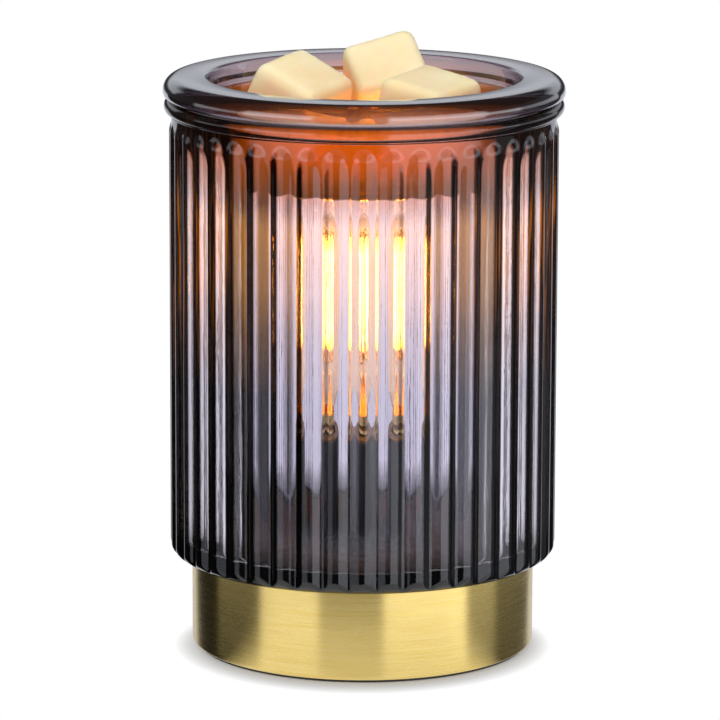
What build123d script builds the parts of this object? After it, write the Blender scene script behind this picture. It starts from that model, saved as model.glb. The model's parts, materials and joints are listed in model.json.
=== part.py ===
"""Wax melt warmer: a fluted glass jar on a metal drum, with a lift-off dish and a filament lamp.

Millimetres, +Z up, front towards -Y. The origin is on the axis of the jar, on the surface it stands on.
"""

import os
from math import cos, radians, sin, sqrt, tan

from build123d import *

os.makedirs("parts", exist_ok=True)

# Clearances
seat_gap = 0.1
slip_gap = 0.1
wire_gap = 0.15
screw_gap = 0.3

# Metal drum and what closes it
pad_thickness = 0.8
pad_width = 7.0
pad_inset = 1.6
drum_diameter = 94.6
drum_height = 25.2
drum_sheet = 1.2
drum_edge_round = 1.0
deck_recess_radius = 19.0
cover_thickness = 2.0
post_count = 3
post_radius = 3.2
post_circle_radius = 33.0
screw_radius = 1.5
screw_length = 9.0
screw_head_radius = 2.9
screw_socket_radius = 1.2
screw_socket_depth = 0.8

# Cord entry at the back
gland_height = 11.0
gland_bore_radius = 3.2
gland_body_radius = 4.6
gland_flange_radius = 6.5
gland_flange_thickness = 2.0
gland_flange_round = 0.8
gland_neck_radius = 5.4
gland_neck_length = 3.6
gland_neck_taper = 6.0
gland_inside_length = 9.0
gland_nut_radius = 7.6
gland_nut_thickness = 3.0

# Wiring in the drum
block_length = 14.0
block_width = 18.0
block_height = 12.0
block_front = 17.0
block_corner_round = 1.0
block_wire_spacing = 8.0
block_screw_radius = 1.8
block_screw_depth = 3.6
wire_radius = 0.9
wire_spacing = 4.2
wire_in_block = 5.0
wire_straight_at_block = 3.0
wire_gentle_radius = 20.0
wire_bend_radius = 8.0

# Glass jar
jar_diameter = 106.8
jar_height = 126.8
jar_wall = 4.4
jar_floor = 3.8
jar_corner_round = 3.3
jar_inner_round = 3.0
jar_hole_gap = 1.0
rib_count = 44
rib_depth = 1.4
rib_valley_round = 0.8
rib_shoulder = 3.6
rib_end_below_rim = 5.8
flute_run_out = 5.0
neck_inset = 0.8
bead_radius = 2.1
bead_blend = 0.8
rim_inner_round = 1.0

# Dish that hangs in the mouth of the jar
dish_overhang = 0.3
dish_flange_thickness = 5.8
dish_flange_top_round = 3.8
dish_flange_under_round = 1.8
dish_lip_round = 1.7
dish_bowl_gap = 3.2
dish_wall = 3.0
dish_wall_slope = 3.0
dish_depth = 25.0
dish_base = 3.2
dish_inner_cove = 5.0

# Wax cubes, lying loose in the dish: middle in plan, counted in cube sides from the axis,
# then the lean, the heading of the lean and the turn in degrees
wax_melt_room = 16.49
wax_wall_slope = 5.356
wax_flatness = 1.0
wax_edge_round = 2.4
wax_gap = 0.3
wax_left_pose = (-0.728, -0.144, 25.0, -54.5, 19.0)
wax_right_pose = (0.704, -0.480, 11.5, -74.5, 36.0)
wax_rear_pose = (0.280, 0.816, 36.0, -103.0, 26.0)

# Stack that clamps the glass floor
gasket_thickness = 0.8
upper_gasket_radius = 12.4
lower_gasket_gap = 0.4
nipple_radius = 5.0
nipple_bore_radius = 3.6
nipple_below_nut = 1.2
nipple_in_socket = 5.6
nut_radius = 8.0
nut_thickness = 3.0
lock_washer_radius = 9.0
lock_washer_thickness = 1.0

# Lamp-holder
socket_radius = 13.5
socket_wall = 2.0
socket_cap_height = 11.0
socket_cap_floor = 4.0
socket_cap_rim = 3.0
socket_cap_round = 2.0
sleeve_height = 17.0
sleeve_lip = 1.6
sleeve_lip_round = 1.0
sleeve_mouth_gap = 0.8
core_height = 4.0
shell_sheet = 0.4
shell_flange = 1.6
spring_sheet = 0.4
spring_foot = 1.2
spring_span = 9.0
spring_rise = 2.0
spring_width = 4.0
terminal_size = 3.4
terminal_height = 2.0

# Lamp
lamp_diameter = 28.0
lamp_glass_length = 54.6
lamp_glass = 0.9
lamp_dome_round = 11.0
lamp_shoulder_height = 8.0
lamp_shoulder_round = 5.0
lamp_neck_length = 3.0
lamp_neck_round = 2.5
lamp_neck_gap = 0.15
cap_radius = 6.9
cap_sheet = 0.4
cap_length = 13.3
cap_skirt_length = 2.6
cap_skirt_flare = 0.5
insulator_height = 2.2
insulator_end_radius = 3.0
insulator_inset = 0.2
contact_radius = 2.4
contact_height = 0.8
contact_round = 0.5
stem_flare_height = 9.0
stem_press_radius = 2.6
stem_press_taper = 4.0
stem_rod_radius = 1.1
stem_rod_above_hooks = 1.4
filament_radius = 0.3
filament_circle_radius = 6.0
filament_strands = 10
filament_below_dome = 4.5
filament_above_cap = 14.6
hook_radius = 0.25
hook_reach = 0.9
hook_collar = 0.6
hook_collar_height = 1.2
lead_radius = 0.35
lead_root_radius = 2.2
lead_root_depth = 3.0
lead_root_rise = 2.4
lead_straight = 3.0
lead_bend_radius = 1.0

# Heights of the seats, from the floor upwards
drum_bottom = pad_thickness
cover_top = drum_bottom + cover_thickness
deck_top = drum_bottom + drum_height
deck_under = deck_top - drum_sheet
recess_top = deck_top - gasket_thickness
recess_under = recess_top - drum_sheet
washer_bottom = recess_under - lock_washer_thickness
nut_bottom = washer_bottom - nut_thickness
jar_bottom = deck_top
jar_floor_top = jar_bottom + jar_floor
jar_rim = jar_bottom + jar_height
dish_seat = jar_rim + seat_gap
dish_top = dish_seat + dish_flange_thickness
dish_floor_top = dish_top - dish_depth
dish_bottom = dish_floor_top - dish_base
socket_bottom = jar_floor_top + gasket_thickness
socket_cap_top = socket_bottom + socket_cap_height
core_top = socket_cap_top + core_height
sleeve_top = socket_cap_top + sleeve_height
terminal_bottom = socket_cap_top - terminal_height
lamp_bottom = core_top + spring_rise + seat_gap
insulator_bottom = lamp_bottom + contact_height
cap_bottom = insulator_bottom + insulator_height
cap_top = cap_bottom + cap_length
lamp_glass_top = cap_top + lamp_glass_length
lamp_neck_bottom = cap_top - lamp_neck_length
press_top = lamp_neck_bottom + stem_flare_height
filament_bottom = cap_top + filament_above_cap
filament_top = lamp_glass_top - filament_below_dome

# Radii shared by pieces that fit together
drum_radius = drum_diameter / 2
drum_inner_radius = drum_radius - drum_sheet
jar_radius = jar_diameter / 2
jar_bore_radius = jar_radius - jar_wall
jar_hole_radius = nipple_radius + jar_hole_gap
valley_radius = jar_radius - rib_depth
neck_radius = jar_radius - neck_inset
dish_radius = neck_radius + bead_radius + dish_overhang
bowl_radius = jar_bore_radius - dish_bowl_gap
dish_mouth_radius = bowl_radius - dish_wall
lower_gasket_radius = deck_recess_radius - lower_gasket_gap
nipple_hole_radius = nipple_radius + slip_gap
shell_bore_radius = cap_radius + screw_gap
cap_skirt_radius = cap_radius + cap_skirt_flare
lamp_radius = lamp_diameter / 2
lamp_neck_radius = cap_radius - cap_sheet - lamp_neck_gap


def save(builder, name):
    """Label a finished piece and write it under its own name."""
    builder.part.label = name
    export_step(builder.part, f"parts/{name}.step")


def ring(inner, outer, bottom, top):
    """Add a plain ring about the axis to the part that is being built."""
    with BuildSketch(Plane.XY.offset(bottom)) as section:
        Circle(outer)
        Circle(inner, mode=Mode.SUBTRACT)
    extrude(section.sketch, amount=top - bottom)


def turned(points, rounds=(), mode=Mode.ADD):
    """Revolve an outline of (radius, height) points, with (point, radius) rounds at some corners."""
    with BuildSketch(Plane.XZ) as outline:
        with BuildLine():
            Polyline(*points, close=True)
        make_face()
        for corner, radius in rounds:
            fillet(outline.vertices().sort_by_distance((*corner, 0))[0], radius)
    revolve(outline.sketch, axis=Axis.Z, mode=mode)


def around(radius, angle, height):
    """Point at a radius and an angle in degrees about the axis."""
    return (radius * cos(radians(angle)), radius * sin(radians(angle)), height)


def tube(path, radius):
    """Sweep a round wire along the path that is given."""
    with BuildSketch(Plane(origin=path.line @ 0, z_dir=path.line % 0)) as section:
        Circle(radius)
    sweep(section.sketch, path=path.line)


# Foot pad: soft ring under the closing plate
pad_radius = drum_radius - pad_inset
with BuildPart() as foot_pad:
    ring(pad_radius - pad_width, pad_radius, 0, pad_thickness)
save(foot_pad, "foot_pad")

# Drum: drawn shell with a deck, a pressed recess for the gasket and a hole for the cord entry
gland_axis = Plane(origin=(0, 0, gland_height), x_dir=(1, 0, 0), z_dir=(0, 1, 0))
drum_round = min(drum_edge_round, drum_sheet - slip_gap)
with BuildPart() as base_shell:
    turned(
        [
            (drum_inner_radius, drum_bottom),
            (drum_radius, drum_bottom),
            (drum_radius, deck_top),
            (deck_recess_radius, deck_top),
            (deck_recess_radius, recess_top),
            (nipple_hole_radius, recess_top),
            (nipple_hole_radius, recess_under),
            (deck_recess_radius + drum_sheet, recess_under),
            (deck_recess_radius + drum_sheet, deck_under),
            (drum_inner_radius, deck_under),
        ],
        rounds=[((drum_radius, drum_bottom), drum_round), ((drum_radius, deck_top), drum_round)],
    )
    with BuildSketch(gland_axis):
        Circle(gland_body_radius + slip_gap)
    extrude(amount=drum_radius, mode=Mode.SUBTRACT)
save(base_shell, "base_shell")

# Closing plate with countersunk holes
cover_face = Plane(origin=(0, 0, drum_bottom), x_dir=(1, 0, 0), z_dir=(0, 0, -1))
with BuildPart() as bottom_cover:
    with BuildSketch(Plane.XY.offset(drum_bottom)):
        Circle(drum_inner_radius - slip_gap)
    extrude(amount=cover_thickness)
    with Locations(cover_face):
        with PolarLocations(post_circle_radius, post_count):
            CounterSinkHole(screw_radius + slip_gap, screw_head_radius + slip_gap, counter_sink_angle=90)
save(bottom_cover, "bottom_cover")

# Tapped posts under the deck
with BuildPart() as cover_posts:
    with BuildSketch(Plane.XY.offset(cover_top)):
        with PolarLocations(post_circle_radius, post_count):
            Circle(post_radius)
    extrude(amount=deck_under - cover_top)
    with BuildSketch(Plane.XY.offset(cover_top)):
        with PolarLocations(post_circle_radius, post_count):
            Circle(screw_radius + slip_gap)
    extrude(amount=screw_length, mode=Mode.SUBTRACT)
save(cover_posts, "cover_posts")

# Countersunk screws of the closing plate
screw_end = drum_bottom + screw_length
with BuildPart() as one_screw:
    turned(
        [
            (0, drum_bottom),
            (screw_head_radius, drum_bottom),
            (screw_radius, drum_bottom + screw_head_radius - screw_radius),
            (screw_radius, screw_end),
            (0, screw_end),
        ]
    )
    with BuildSketch(Plane.XY.offset(drum_bottom)):
        RegularPolygon(screw_socket_radius, 6)
    extrude(amount=screw_socket_depth, mode=Mode.SUBTRACT)
with BuildPart() as cover_screws:
    with PolarLocations(post_circle_radius, post_count):
        add(one_screw.part)
save(cover_screws, "cover_screws")

# Cord entry: a flange that follows the drum, a body through its wall and a short tapered neck
gland_flange_face = drum_radius + gland_flange_thickness
with BuildPart() as cord_gland:
    with BuildSketch(gland_axis.offset(drum_inner_radius)):
        Circle(gland_flange_radius)
    extrude(amount=gland_flange_face - drum_inner_radius)
    fillet(cord_gland.edges().sort_by(Axis.Y)[-1], gland_flange_round)
    with BuildSketch(Plane.XY):
        Circle(drum_radius)
    extrude(amount=deck_top, mode=Mode.SUBTRACT)
    with BuildSketch(gland_axis.offset(drum_inner_radius - gland_inside_length)):
        Circle(gland_body_radius)
    extrude(amount=gland_inside_length + drum_sheet + gland_flange_thickness)
    with BuildSketch(gland_axis.offset(gland_flange_face)):
        Circle(gland_neck_radius)
    extrude(amount=gland_neck_length, taper=gland_neck_taper)
    with BuildSketch(gland_axis):
        Circle(gland_bore_radius)
    extrude(amount=gland_flange_face + gland_neck_length, mode=Mode.SUBTRACT)
save(cord_gland, "cord_gland")

# Hexagon nut of the cord entry, its corners against the inside of the drum
gland_nut_face = sqrt(drum_inner_radius**2 - gland_nut_radius**2) - slip_gap
with BuildPart() as gland_nut:
    with BuildSketch(gland_axis.offset(gland_nut_face - gland_nut_thickness)):
        RegularPolygon(gland_nut_radius, 6)
        Circle(gland_body_radius + slip_gap, mode=Mode.SUBTRACT)
    extrude(amount=gland_nut_thickness)
save(gland_nut, "gland_nut")

# Two-pole terminal block on the closing plate
block_middle = block_front + block_length / 2
block_wire_height = cover_top + block_height / 2
with BuildPart() as terminal_block:
    with BuildSketch(Plane.XY.offset(cover_top)):
        with Locations((0, block_middle)):
            RectangleRounded(block_width, block_length, block_corner_round)
    extrude(amount=block_height)
    with BuildSketch(Plane(origin=(0, block_front, block_wire_height), x_dir=(1, 0, 0), z_dir=(0, 1, 0))):
        with GridLocations(block_wire_spacing, 0, 2, 1):
            Circle(wire_radius + wire_gap)
    extrude(amount=block_length, mode=Mode.SUBTRACT)
    with BuildSketch(Plane.XY.offset(cover_top + block_height)):
        with Locations((0, block_middle)):
            with GridLocations(block_wire_spacing, block_length / 2, 2, 2):
                Circle(block_screw_radius)
    extrude(amount=-block_screw_depth, mode=Mode.SUBTRACT)
save(terminal_block, "terminal_block")


def inner_wire(side):
    """Wire from the terminal block up the threaded tube, on one side of the middle."""
    at_block = side * block_wire_spacing / 2
    at_axis = side * wire_spacing / 2
    with BuildPart() as wire:
        with BuildLine() as route:
            FilletPolyline(
                (at_block, block_front + wire_in_block, block_wire_height),
                (at_block, block_front - wire_straight_at_block, block_wire_height),
                (at_axis, 0, block_wire_height),
                (at_axis, 0, terminal_bottom),
                radius=[wire_gentle_radius, wire_bend_radius],
            )
        tube(route, wire_radius)
    return wire


save(inner_wire(1), "live_wire")
save(inner_wire(-1), "neutral_wire")

# Threaded tube, nut and washer that clamp the lamp-holder, the glass floor and the deck together
with BuildPart() as nipple_tube:
    ring(nipple_bore_radius, nipple_radius, nut_bottom - nipple_below_nut, socket_bottom + nipple_in_socket)
save(nipple_tube, "nipple_tube")

with BuildPart() as nipple_nut:
    with BuildSketch(Plane.XY.offset(nut_bottom)):
        RegularPolygon(nut_radius, 6)
        Circle(nipple_hole_radius, mode=Mode.SUBTRACT)
    extrude(amount=nut_thickness)
save(nipple_nut, "nipple_nut")

with BuildPart() as lock_washer:
    ring(nipple_hole_radius, lock_washer_radius, washer_bottom, recess_under)
save(lock_washer, "lock_washer")

# Soft washers on both sides of the glass floor
with BuildPart() as lower_gasket:
    ring(jar_hole_radius, lower_gasket_radius, recess_top, jar_bottom)
save(lower_gasket, "lower_gasket")

with BuildPart() as upper_gasket:
    ring(jar_hole_radius, upper_gasket_radius, jar_floor_top, socket_bottom)
save(upper_gasket, "upper_gasket")

# Glass jar: convex ribs with arched ends, a smooth neck and a rolled bead round the mouth
rib_top = jar_rim - rib_end_below_rim
neck_start = rib_top - rib_shoulder
bead_bottom = jar_rim - 2 * bead_radius
rib_pitch = 360 / rib_count
with BuildPart() as glass_shade:
    with BuildSketch(Plane.XY.offset(jar_bottom)) as ribs:
        with BuildLine():
            for rib in range(rib_count):
                ThreePointArc(
                    around(valley_radius, (rib - 0.5) * rib_pitch, 0),
                    around(jar_radius, rib * rib_pitch, 0),
                    around(valley_radius, (rib + 0.5) * rib_pitch, 0),
                )
        make_face()
        fillet(ribs.vertices(), rib_valley_round)
    extrude(amount=rib_top - jar_bottom)
    turned(
        [(0, jar_bottom), (jar_radius, jar_bottom), (jar_radius, rib_top), (0, rib_top)],
        rounds=[((jar_radius, jar_bottom), jar_corner_round), ((jar_radius, rib_top), rib_shoulder)],
        mode=Mode.INTERSECT,
    )
    with BuildSketch(Plane.XZ):
        with BuildLine():
            Polyline(
                (neck_radius, jar_rim),
                (jar_bore_radius, jar_rim),
                (jar_bore_radius, neck_start - flute_run_out),
                (valley_radius - slip_gap, neck_start - flute_run_out),
                (neck_radius, neck_start),
                (neck_radius, bead_bottom),
            )
            ThreePointArc(
                (neck_radius, bead_bottom),
                (neck_radius + bead_radius, jar_rim - bead_radius),
                (neck_radius, jar_rim),
            )
        make_face()
    revolve(axis=Axis.Z)
    turned(
        [(0, jar_floor_top), (jar_bore_radius, jar_floor_top), (jar_bore_radius, jar_rim), (0, jar_rim)],
        rounds=[((jar_bore_radius, jar_floor_top), jar_inner_round)],
        mode=Mode.SUBTRACT,
    )
    with BuildSketch(Plane.XY.offset(jar_bottom)):
        Circle(jar_hole_radius)
    extrude(amount=jar_floor, mode=Mode.SUBTRACT)
    mouth_edges = glass_shade.edges().filter_by(GeomType.CIRCLE)
    fillet(mouth_edges.sort_by_distance((jar_bore_radius, 0, jar_rim))[0], rim_inner_round)
    fillet(glass_shade.edges().sort_by_distance((neck_radius, 0, bead_bottom))[0], bead_blend)
save(glass_shade, "glass_shade")

# Dish: bowl with a wide rounded flange
wall_lean = tan(radians(dish_wall_slope))
bowl_foot_radius = bowl_radius - (dish_seat - dish_bottom) * wall_lean
bowl_floor_radius = dish_mouth_radius - dish_depth * wall_lean
with BuildPart() as glass_dish:
    turned(
        [
            (0, dish_bottom),
            (bowl_foot_radius, dish_bottom),
            (bowl_radius, dish_seat),
            (dish_radius, dish_seat),
            (dish_radius, dish_top),
            (dish_mouth_radius, dish_top),
            (bowl_floor_radius, dish_floor_top),
            (0, dish_floor_top),
        ],
        rounds=[
            ((bowl_foot_radius, dish_bottom), dish_inner_cove),
            ((bowl_radius, dish_seat), dish_flange_under_round),
            ((dish_radius, dish_seat), dish_flange_under_round),
            ((dish_radius, dish_top), dish_flange_top_round),
            ((dish_mouth_radius, dish_top), dish_lip_round),
            ((bowl_floor_radius, dish_floor_top), dish_inner_cove),
        ],
    )
save(glass_dish, "glass_dish")

# Wax cubes: cast blocks with a draft and soft edges, leaning as they were dropped
wax_side = bowl_floor_radius - wax_melt_room
wax_height = wax_side - wax_flatness
with BuildPart() as wax_block:
    with BuildSketch(Plane.XY.offset(-wax_height / 2)):
        Rectangle(wax_side, wax_side)
    extrude(amount=wax_height, taper=wax_wall_slope)
    fillet(wax_block.edges(), wax_edge_round)


def wax_cube(pose):
    """Lean one cube and let it down on the floor of the dish."""
    sides_x, sides_y, lean, heading, turn = pose
    tilt = Location((0, 0, 0), (0, 0, heading)) * Location((0, 0, 0), (0, lean, 0))
    tilted = wax_block.part.moved(tilt * Location((0, 0, 0), (0, 0, turn)))
    rise = dish_floor_top + wax_gap - tilted.bounding_box().min.Z
    with BuildPart() as cube:
        add(tilted.moved(Location((sides_x * wax_side, sides_y * wax_side, rise))))
    return cube


save(wax_cube(wax_left_pose), "wax_cube_left")
save(wax_cube(wax_rear_pose), "wax_cube_rear")
save(wax_cube(wax_right_pose), "wax_cube_right")

# Lamp-holder: lower half, screwed on the threaded tube
cavity_radius = socket_radius - socket_cap_rim
cap_floor_top = socket_bottom + socket_cap_floor
with BuildPart() as socket_cap:
    turned(
        [
            (nipple_hole_radius, socket_bottom),
            (socket_radius, socket_bottom),
            (socket_radius, socket_cap_top),
            (cavity_radius, socket_cap_top),
            (cavity_radius, cap_floor_top),
            (nipple_hole_radius, cap_floor_top),
        ],
        rounds=[((socket_radius, socket_bottom), socket_cap_round)],
    )
save(socket_cap, "socket_cap")

# Sleeve with a lip that holds the insert down
sleeve_bore_radius = socket_radius - socket_wall
mouth_radius = cap_skirt_radius + sleeve_mouth_gap
lip_bottom = sleeve_top - sleeve_lip
with BuildPart() as socket_sleeve:
    turned(
        [
            (sleeve_bore_radius, socket_cap_top),
            (socket_radius, socket_cap_top),
            (socket_radius, sleeve_top),
            (mouth_radius, sleeve_top),
            (mouth_radius, lip_bottom),
            (sleeve_bore_radius, lip_bottom),
        ],
        rounds=[((socket_radius, sleeve_top), sleeve_lip_round)],
    )
save(socket_sleeve, "socket_sleeve")

# Ceramic insert on the rim of the lower half
with BuildPart() as socket_core:
    with BuildSketch(Plane.XY.offset(socket_cap_top)):
        Circle(sleeve_bore_radius - slip_gap)
    extrude(amount=core_height)
save(socket_core, "socket_core")

# Screw shell that takes the cap of the lamp
shell_radius = shell_bore_radius + shell_sheet
with BuildPart() as socket_screw_shell:
    ring(shell_bore_radius, shell_radius + shell_flange, core_top, core_top + shell_sheet)
    ring(shell_bore_radius, shell_radius, core_top, lip_bottom - seat_gap)
save(socket_screw_shell, "socket_screw_shell")

# Arched spring contact under the lamp
spring_end = spring_span / 2
spring_inner_end = spring_end - spring_foot
with BuildPart() as socket_centre_contact:
    with BuildSketch(Plane.XZ):
        with BuildLine():
            ThreePointArc((-spring_end, core_top), (0, core_top + spring_rise), (spring_end, core_top))
            Line((spring_end, core_top), (spring_inner_end, core_top))
            ThreePointArc(
                (spring_inner_end, core_top),
                (0, core_top + spring_rise - spring_sheet),
                (-spring_inner_end, core_top),
            )
            Line((-spring_inner_end, core_top), (-spring_end, core_top))
        make_face()
    extrude(amount=spring_width / 2, both=True)
save(socket_centre_contact, "socket_centre_contact")

# Clamping terminals under the insert, each over the end of its wire
with BuildPart() as socket_terminals:
    with BuildSketch(Plane.XY.offset(terminal_bottom)):
        with GridLocations(wire_spacing, 0, 2, 1):
            Rectangle(terminal_size, terminal_size)
    extrude(amount=terminal_height)
save(socket_terminals, "socket_terminals")

# Lamp: end contact, insulator and brass cap
with BuildPart() as bulb_contact:
    turned(
        [
            (0, lamp_bottom),
            (contact_radius, lamp_bottom),
            (contact_radius, insulator_bottom),
            (0, insulator_bottom),
        ],
        rounds=[((contact_radius, lamp_bottom), contact_round)],
    )
save(bulb_contact, "bulb_contact")

insulator_radius = cap_radius - insulator_inset
with BuildPart() as bulb_cap_insulator:
    turned(
        [
            (0, insulator_bottom),
            (insulator_end_radius, insulator_bottom),
            (insulator_radius, cap_bottom),
            (0, cap_bottom),
        ]
    )
save(bulb_cap_insulator, "bulb_cap_insulator")

skirt_bottom = cap_top - cap_skirt_length
with BuildPart() as bulb_cap:
    turned(
        [
            (cap_radius - cap_sheet, cap_bottom),
            (cap_radius, cap_bottom),
            (cap_radius, skirt_bottom - cap_skirt_flare),
            (cap_skirt_radius, skirt_bottom),
            (cap_skirt_radius, cap_top),
            (cap_skirt_radius - cap_sheet, cap_top),
            (cap_skirt_radius - cap_sheet, skirt_bottom),
            (cap_radius - cap_sheet, skirt_bottom - cap_skirt_flare),
        ]
    )
save(bulb_cap, "bulb_cap")


def lamp_outline(inset, bottom, mode):
    """Lamp glass or its hollow: a neck, a sloping shoulder, a straight tube and a round dome."""
    neck = lamp_neck_radius - inset
    side = lamp_radius - inset
    shoulder = cap_top + lamp_shoulder_height
    top = lamp_glass_top - inset
    turned(
        [(0, bottom), (neck, bottom), (neck, cap_top), (side, shoulder), (side, top), (0, top)],
        rounds=[
            ((neck, cap_top), lamp_neck_round + inset),
            ((side, shoulder), lamp_shoulder_round - inset),
            ((side, top), lamp_dome_round - inset),
        ],
        mode=mode,
    )


with BuildPart() as bulb_envelope:
    lamp_outline(0, lamp_neck_bottom, Mode.ADD)
    lamp_outline(lamp_glass, lamp_neck_bottom, Mode.SUBTRACT)
save(bulb_envelope, "bulb_envelope")

# Filament: one wire that runs up and down round a circle, with a hairpin at each end
strand_pitch = 360 / filament_strands
hairpin_radius = filament_circle_radius * sin(radians(strand_pitch / 2))
hairpin_circle_radius = filament_circle_radius * cos(radians(strand_pitch / 2))
strand_ends = (filament_bottom + hairpin_radius, filament_top - hairpin_radius)
with BuildPart() as bulb_filament:
    with BuildLine() as strands:
        for strand in range(filament_strands):
            angle = (strand + 0.5) * strand_pitch
            low = filament_bottom if strand in (0, filament_strands - 1) else strand_ends[0]
            ends = [around(filament_circle_radius, angle, low)]
            ends.append(around(filament_circle_radius, angle, strand_ends[1]))
            rising = strand % 2 == 0
            Line(*(ends if rising else reversed(ends)))
            if strand < filament_strands - 1:
                turn_height = strand_ends[1] if rising else strand_ends[0]
                turn_top = filament_top if rising else filament_bottom
                ThreePointArc(
                    around(filament_circle_radius, angle, turn_height),
                    around(hairpin_circle_radius, angle + strand_pitch / 2, turn_top),
                    around(filament_circle_radius, angle + strand_pitch, turn_height),
                )
    tube(strands, filament_radius)
save(bulb_filament, "bulb_filament")

# Hooks that carry the hairpins, on two collars round the glass rod
hook_offset = filament_radius + wire_gap + hook_radius
hook_heights = (filament_bottom + hook_offset, filament_top - hook_offset)
collar_bore = stem_rod_radius + slip_gap
collar_radius = stem_rod_radius + hook_collar
hook_end = filament_circle_radius + hook_reach
with BuildPart() as filament_supports:
    for first, height in zip((2, 1), hook_heights):
        ring(collar_bore, collar_radius, height - hook_collar_height / 2, height + hook_collar_height / 2)
        for hook in range(first, filament_strands, 2):
            heading = around(1, hook * strand_pitch, 0)
            hook_root = (collar_bore + collar_radius) / 2
            with BuildSketch(Plane(origin=(0, 0, height), z_dir=heading).offset(hook_root)):
                Circle(hook_radius)
            extrude(amount=hook_end - hook_root)
save(filament_supports, "filament_supports")


def lead_wire(side):
    """Lead-in wire from the glass press to one end of the filament."""
    strand_x, strand_y, _ = around(filament_circle_radius, strand_pitch / 2, 0)
    root_x, root_y, _ = around(lead_root_radius, strand_pitch / 2, 0)
    with BuildLine() as route:
        FilletPolyline(
            (root_x, side * root_y, press_top - lead_root_depth),
            (root_x, side * root_y, press_top + lead_root_rise),
            (strand_x, side * strand_y, filament_bottom - lead_straight),
            (strand_x, side * strand_y, filament_bottom),
            radius=lead_bend_radius,
        )
    tube(route, lead_radius)


with BuildPart() as bulb_lead_wires:
    lead_wire(1)
    lead_wire(-1)
save(bulb_lead_wires, "bulb_lead_wires")

# Glass stem: flare in the neck, press round the lead-in wires and a rod up the middle
stem_flare_radius = lamp_neck_radius - lamp_glass - slip_gap
rod_top = hook_heights[1] + stem_rod_above_hooks
with BuildPart() as bulb_stem:
    turned(
        [
            (0, lamp_neck_bottom),
            (stem_flare_radius, lamp_neck_bottom),
            (stem_press_radius, press_top),
            (stem_rod_radius, press_top + stem_press_taper),
            (stem_rod_radius, rod_top),
            (0, rod_top),
        ]
    )
    add(bulb_lead_wires.part, mode=Mode.SUBTRACT)
save(bulb_stem, "bulb_stem")
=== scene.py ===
"""Studio scene of the wax melt warmer: fluted smoked glass on a brushed gold drum, with its lamp lit.

Everything is in metres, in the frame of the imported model: +Z up, front towards -Y, jar axis at x = y = 0.
"""

import json
from math import atan2, cos, hypot, pi, radians, sin, sqrt, tan

import bpy
from mathutils import Matrix, Vector


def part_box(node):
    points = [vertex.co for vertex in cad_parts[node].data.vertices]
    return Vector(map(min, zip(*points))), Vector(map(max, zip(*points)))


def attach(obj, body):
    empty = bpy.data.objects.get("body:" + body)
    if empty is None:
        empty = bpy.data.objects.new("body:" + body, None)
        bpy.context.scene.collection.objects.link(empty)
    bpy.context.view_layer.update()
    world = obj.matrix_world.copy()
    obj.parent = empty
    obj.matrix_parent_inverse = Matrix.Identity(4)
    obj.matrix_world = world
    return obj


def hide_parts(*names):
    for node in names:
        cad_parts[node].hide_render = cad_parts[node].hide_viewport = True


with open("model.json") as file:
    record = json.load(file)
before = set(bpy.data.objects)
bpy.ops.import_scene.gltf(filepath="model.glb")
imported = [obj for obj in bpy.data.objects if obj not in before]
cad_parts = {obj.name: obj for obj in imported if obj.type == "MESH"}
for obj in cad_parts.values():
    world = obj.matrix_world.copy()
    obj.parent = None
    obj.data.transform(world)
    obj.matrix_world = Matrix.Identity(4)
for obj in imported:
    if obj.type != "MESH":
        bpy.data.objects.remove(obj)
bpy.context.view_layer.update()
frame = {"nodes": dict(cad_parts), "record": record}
nodes = frame["nodes"]
MM = 0.001
TOUCH = 1e-7

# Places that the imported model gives
jar_low, jar_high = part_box("glass_shade")
dish_low, dish_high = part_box("glass_dish")
drum_low, drum_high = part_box("base_shell")
lamp_low, lamp_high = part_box("bulb_envelope")
cap_low, cap_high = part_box("bulb_cap")
filament_low, filament_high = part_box("bulb_filament")
shell_low, shell_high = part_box("socket_screw_shell")
nipple_low, nipple_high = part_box("nipple_tube")
gland_low, gland_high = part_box("cord_gland")

# Fluted jar
rib_count = 44
rib_steps = 16
rib_depth = 1.4 * MM
rib_valley_softness = 0.3
rib_shoulder = 3.9 * MM
rib_tip = 4.2 * MM
rib_end_below_rim = 5.8 * MM
flute_run_out = 5.0 * MM
rib_blend = 0.35 * MM
neck_blend = 0.9 * MM
neck_inset = 0.8 * MM
bead_radius = 2.1 * MM
bead_blend = 0.8 * MM
jar_wall = 4.4 * MM
jar_floor = 3.8 * MM
jar_corner_round = 3.3 * MM
jar_inner_round = 3.0 * MM
jar_hole_radius = 6.0 * MM
rim_inner_round = 1.0 * MM
bead_fullness = 0.98
straight_rows = 10
arch_rows = 26

# Dish
dish_flange_thickness = 5.8 * MM
dish_mouth_radius = 42.8 * MM
dish_flange_top_round = 3.8 * MM
dish_flange_under_round = 1.8 * MM
dish_lip_round = 0.9 * MM
dish_wall = 3.0 * MM
dish_wall_slope = radians(3.0)
dish_base = 3.2 * MM
dish_cove = 5.0 * MM
dish_foot_round = 7.5 * MM
dish_steps = 240

# Wax cubes: lean, heading of the lean and turn in degrees
wax_side = 25.0 * MM
wax_top_side = 20.5 * MM
wax_height = 24.0 * MM
wax_edge_round = 2.8 * MM
wax_bevel_reach = 1.15
wax_grain = 0.7 * MM
wax_waviness = 0.35 * MM
wax_wave_length = 12 * MM
wax_smoothing = 10
wax_poses = {"left": (25.0, -54.5, 19.0), "rear": (36.0, -103.0, 26.0), "right": (11.5, -74.5, 36.0)}

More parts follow.
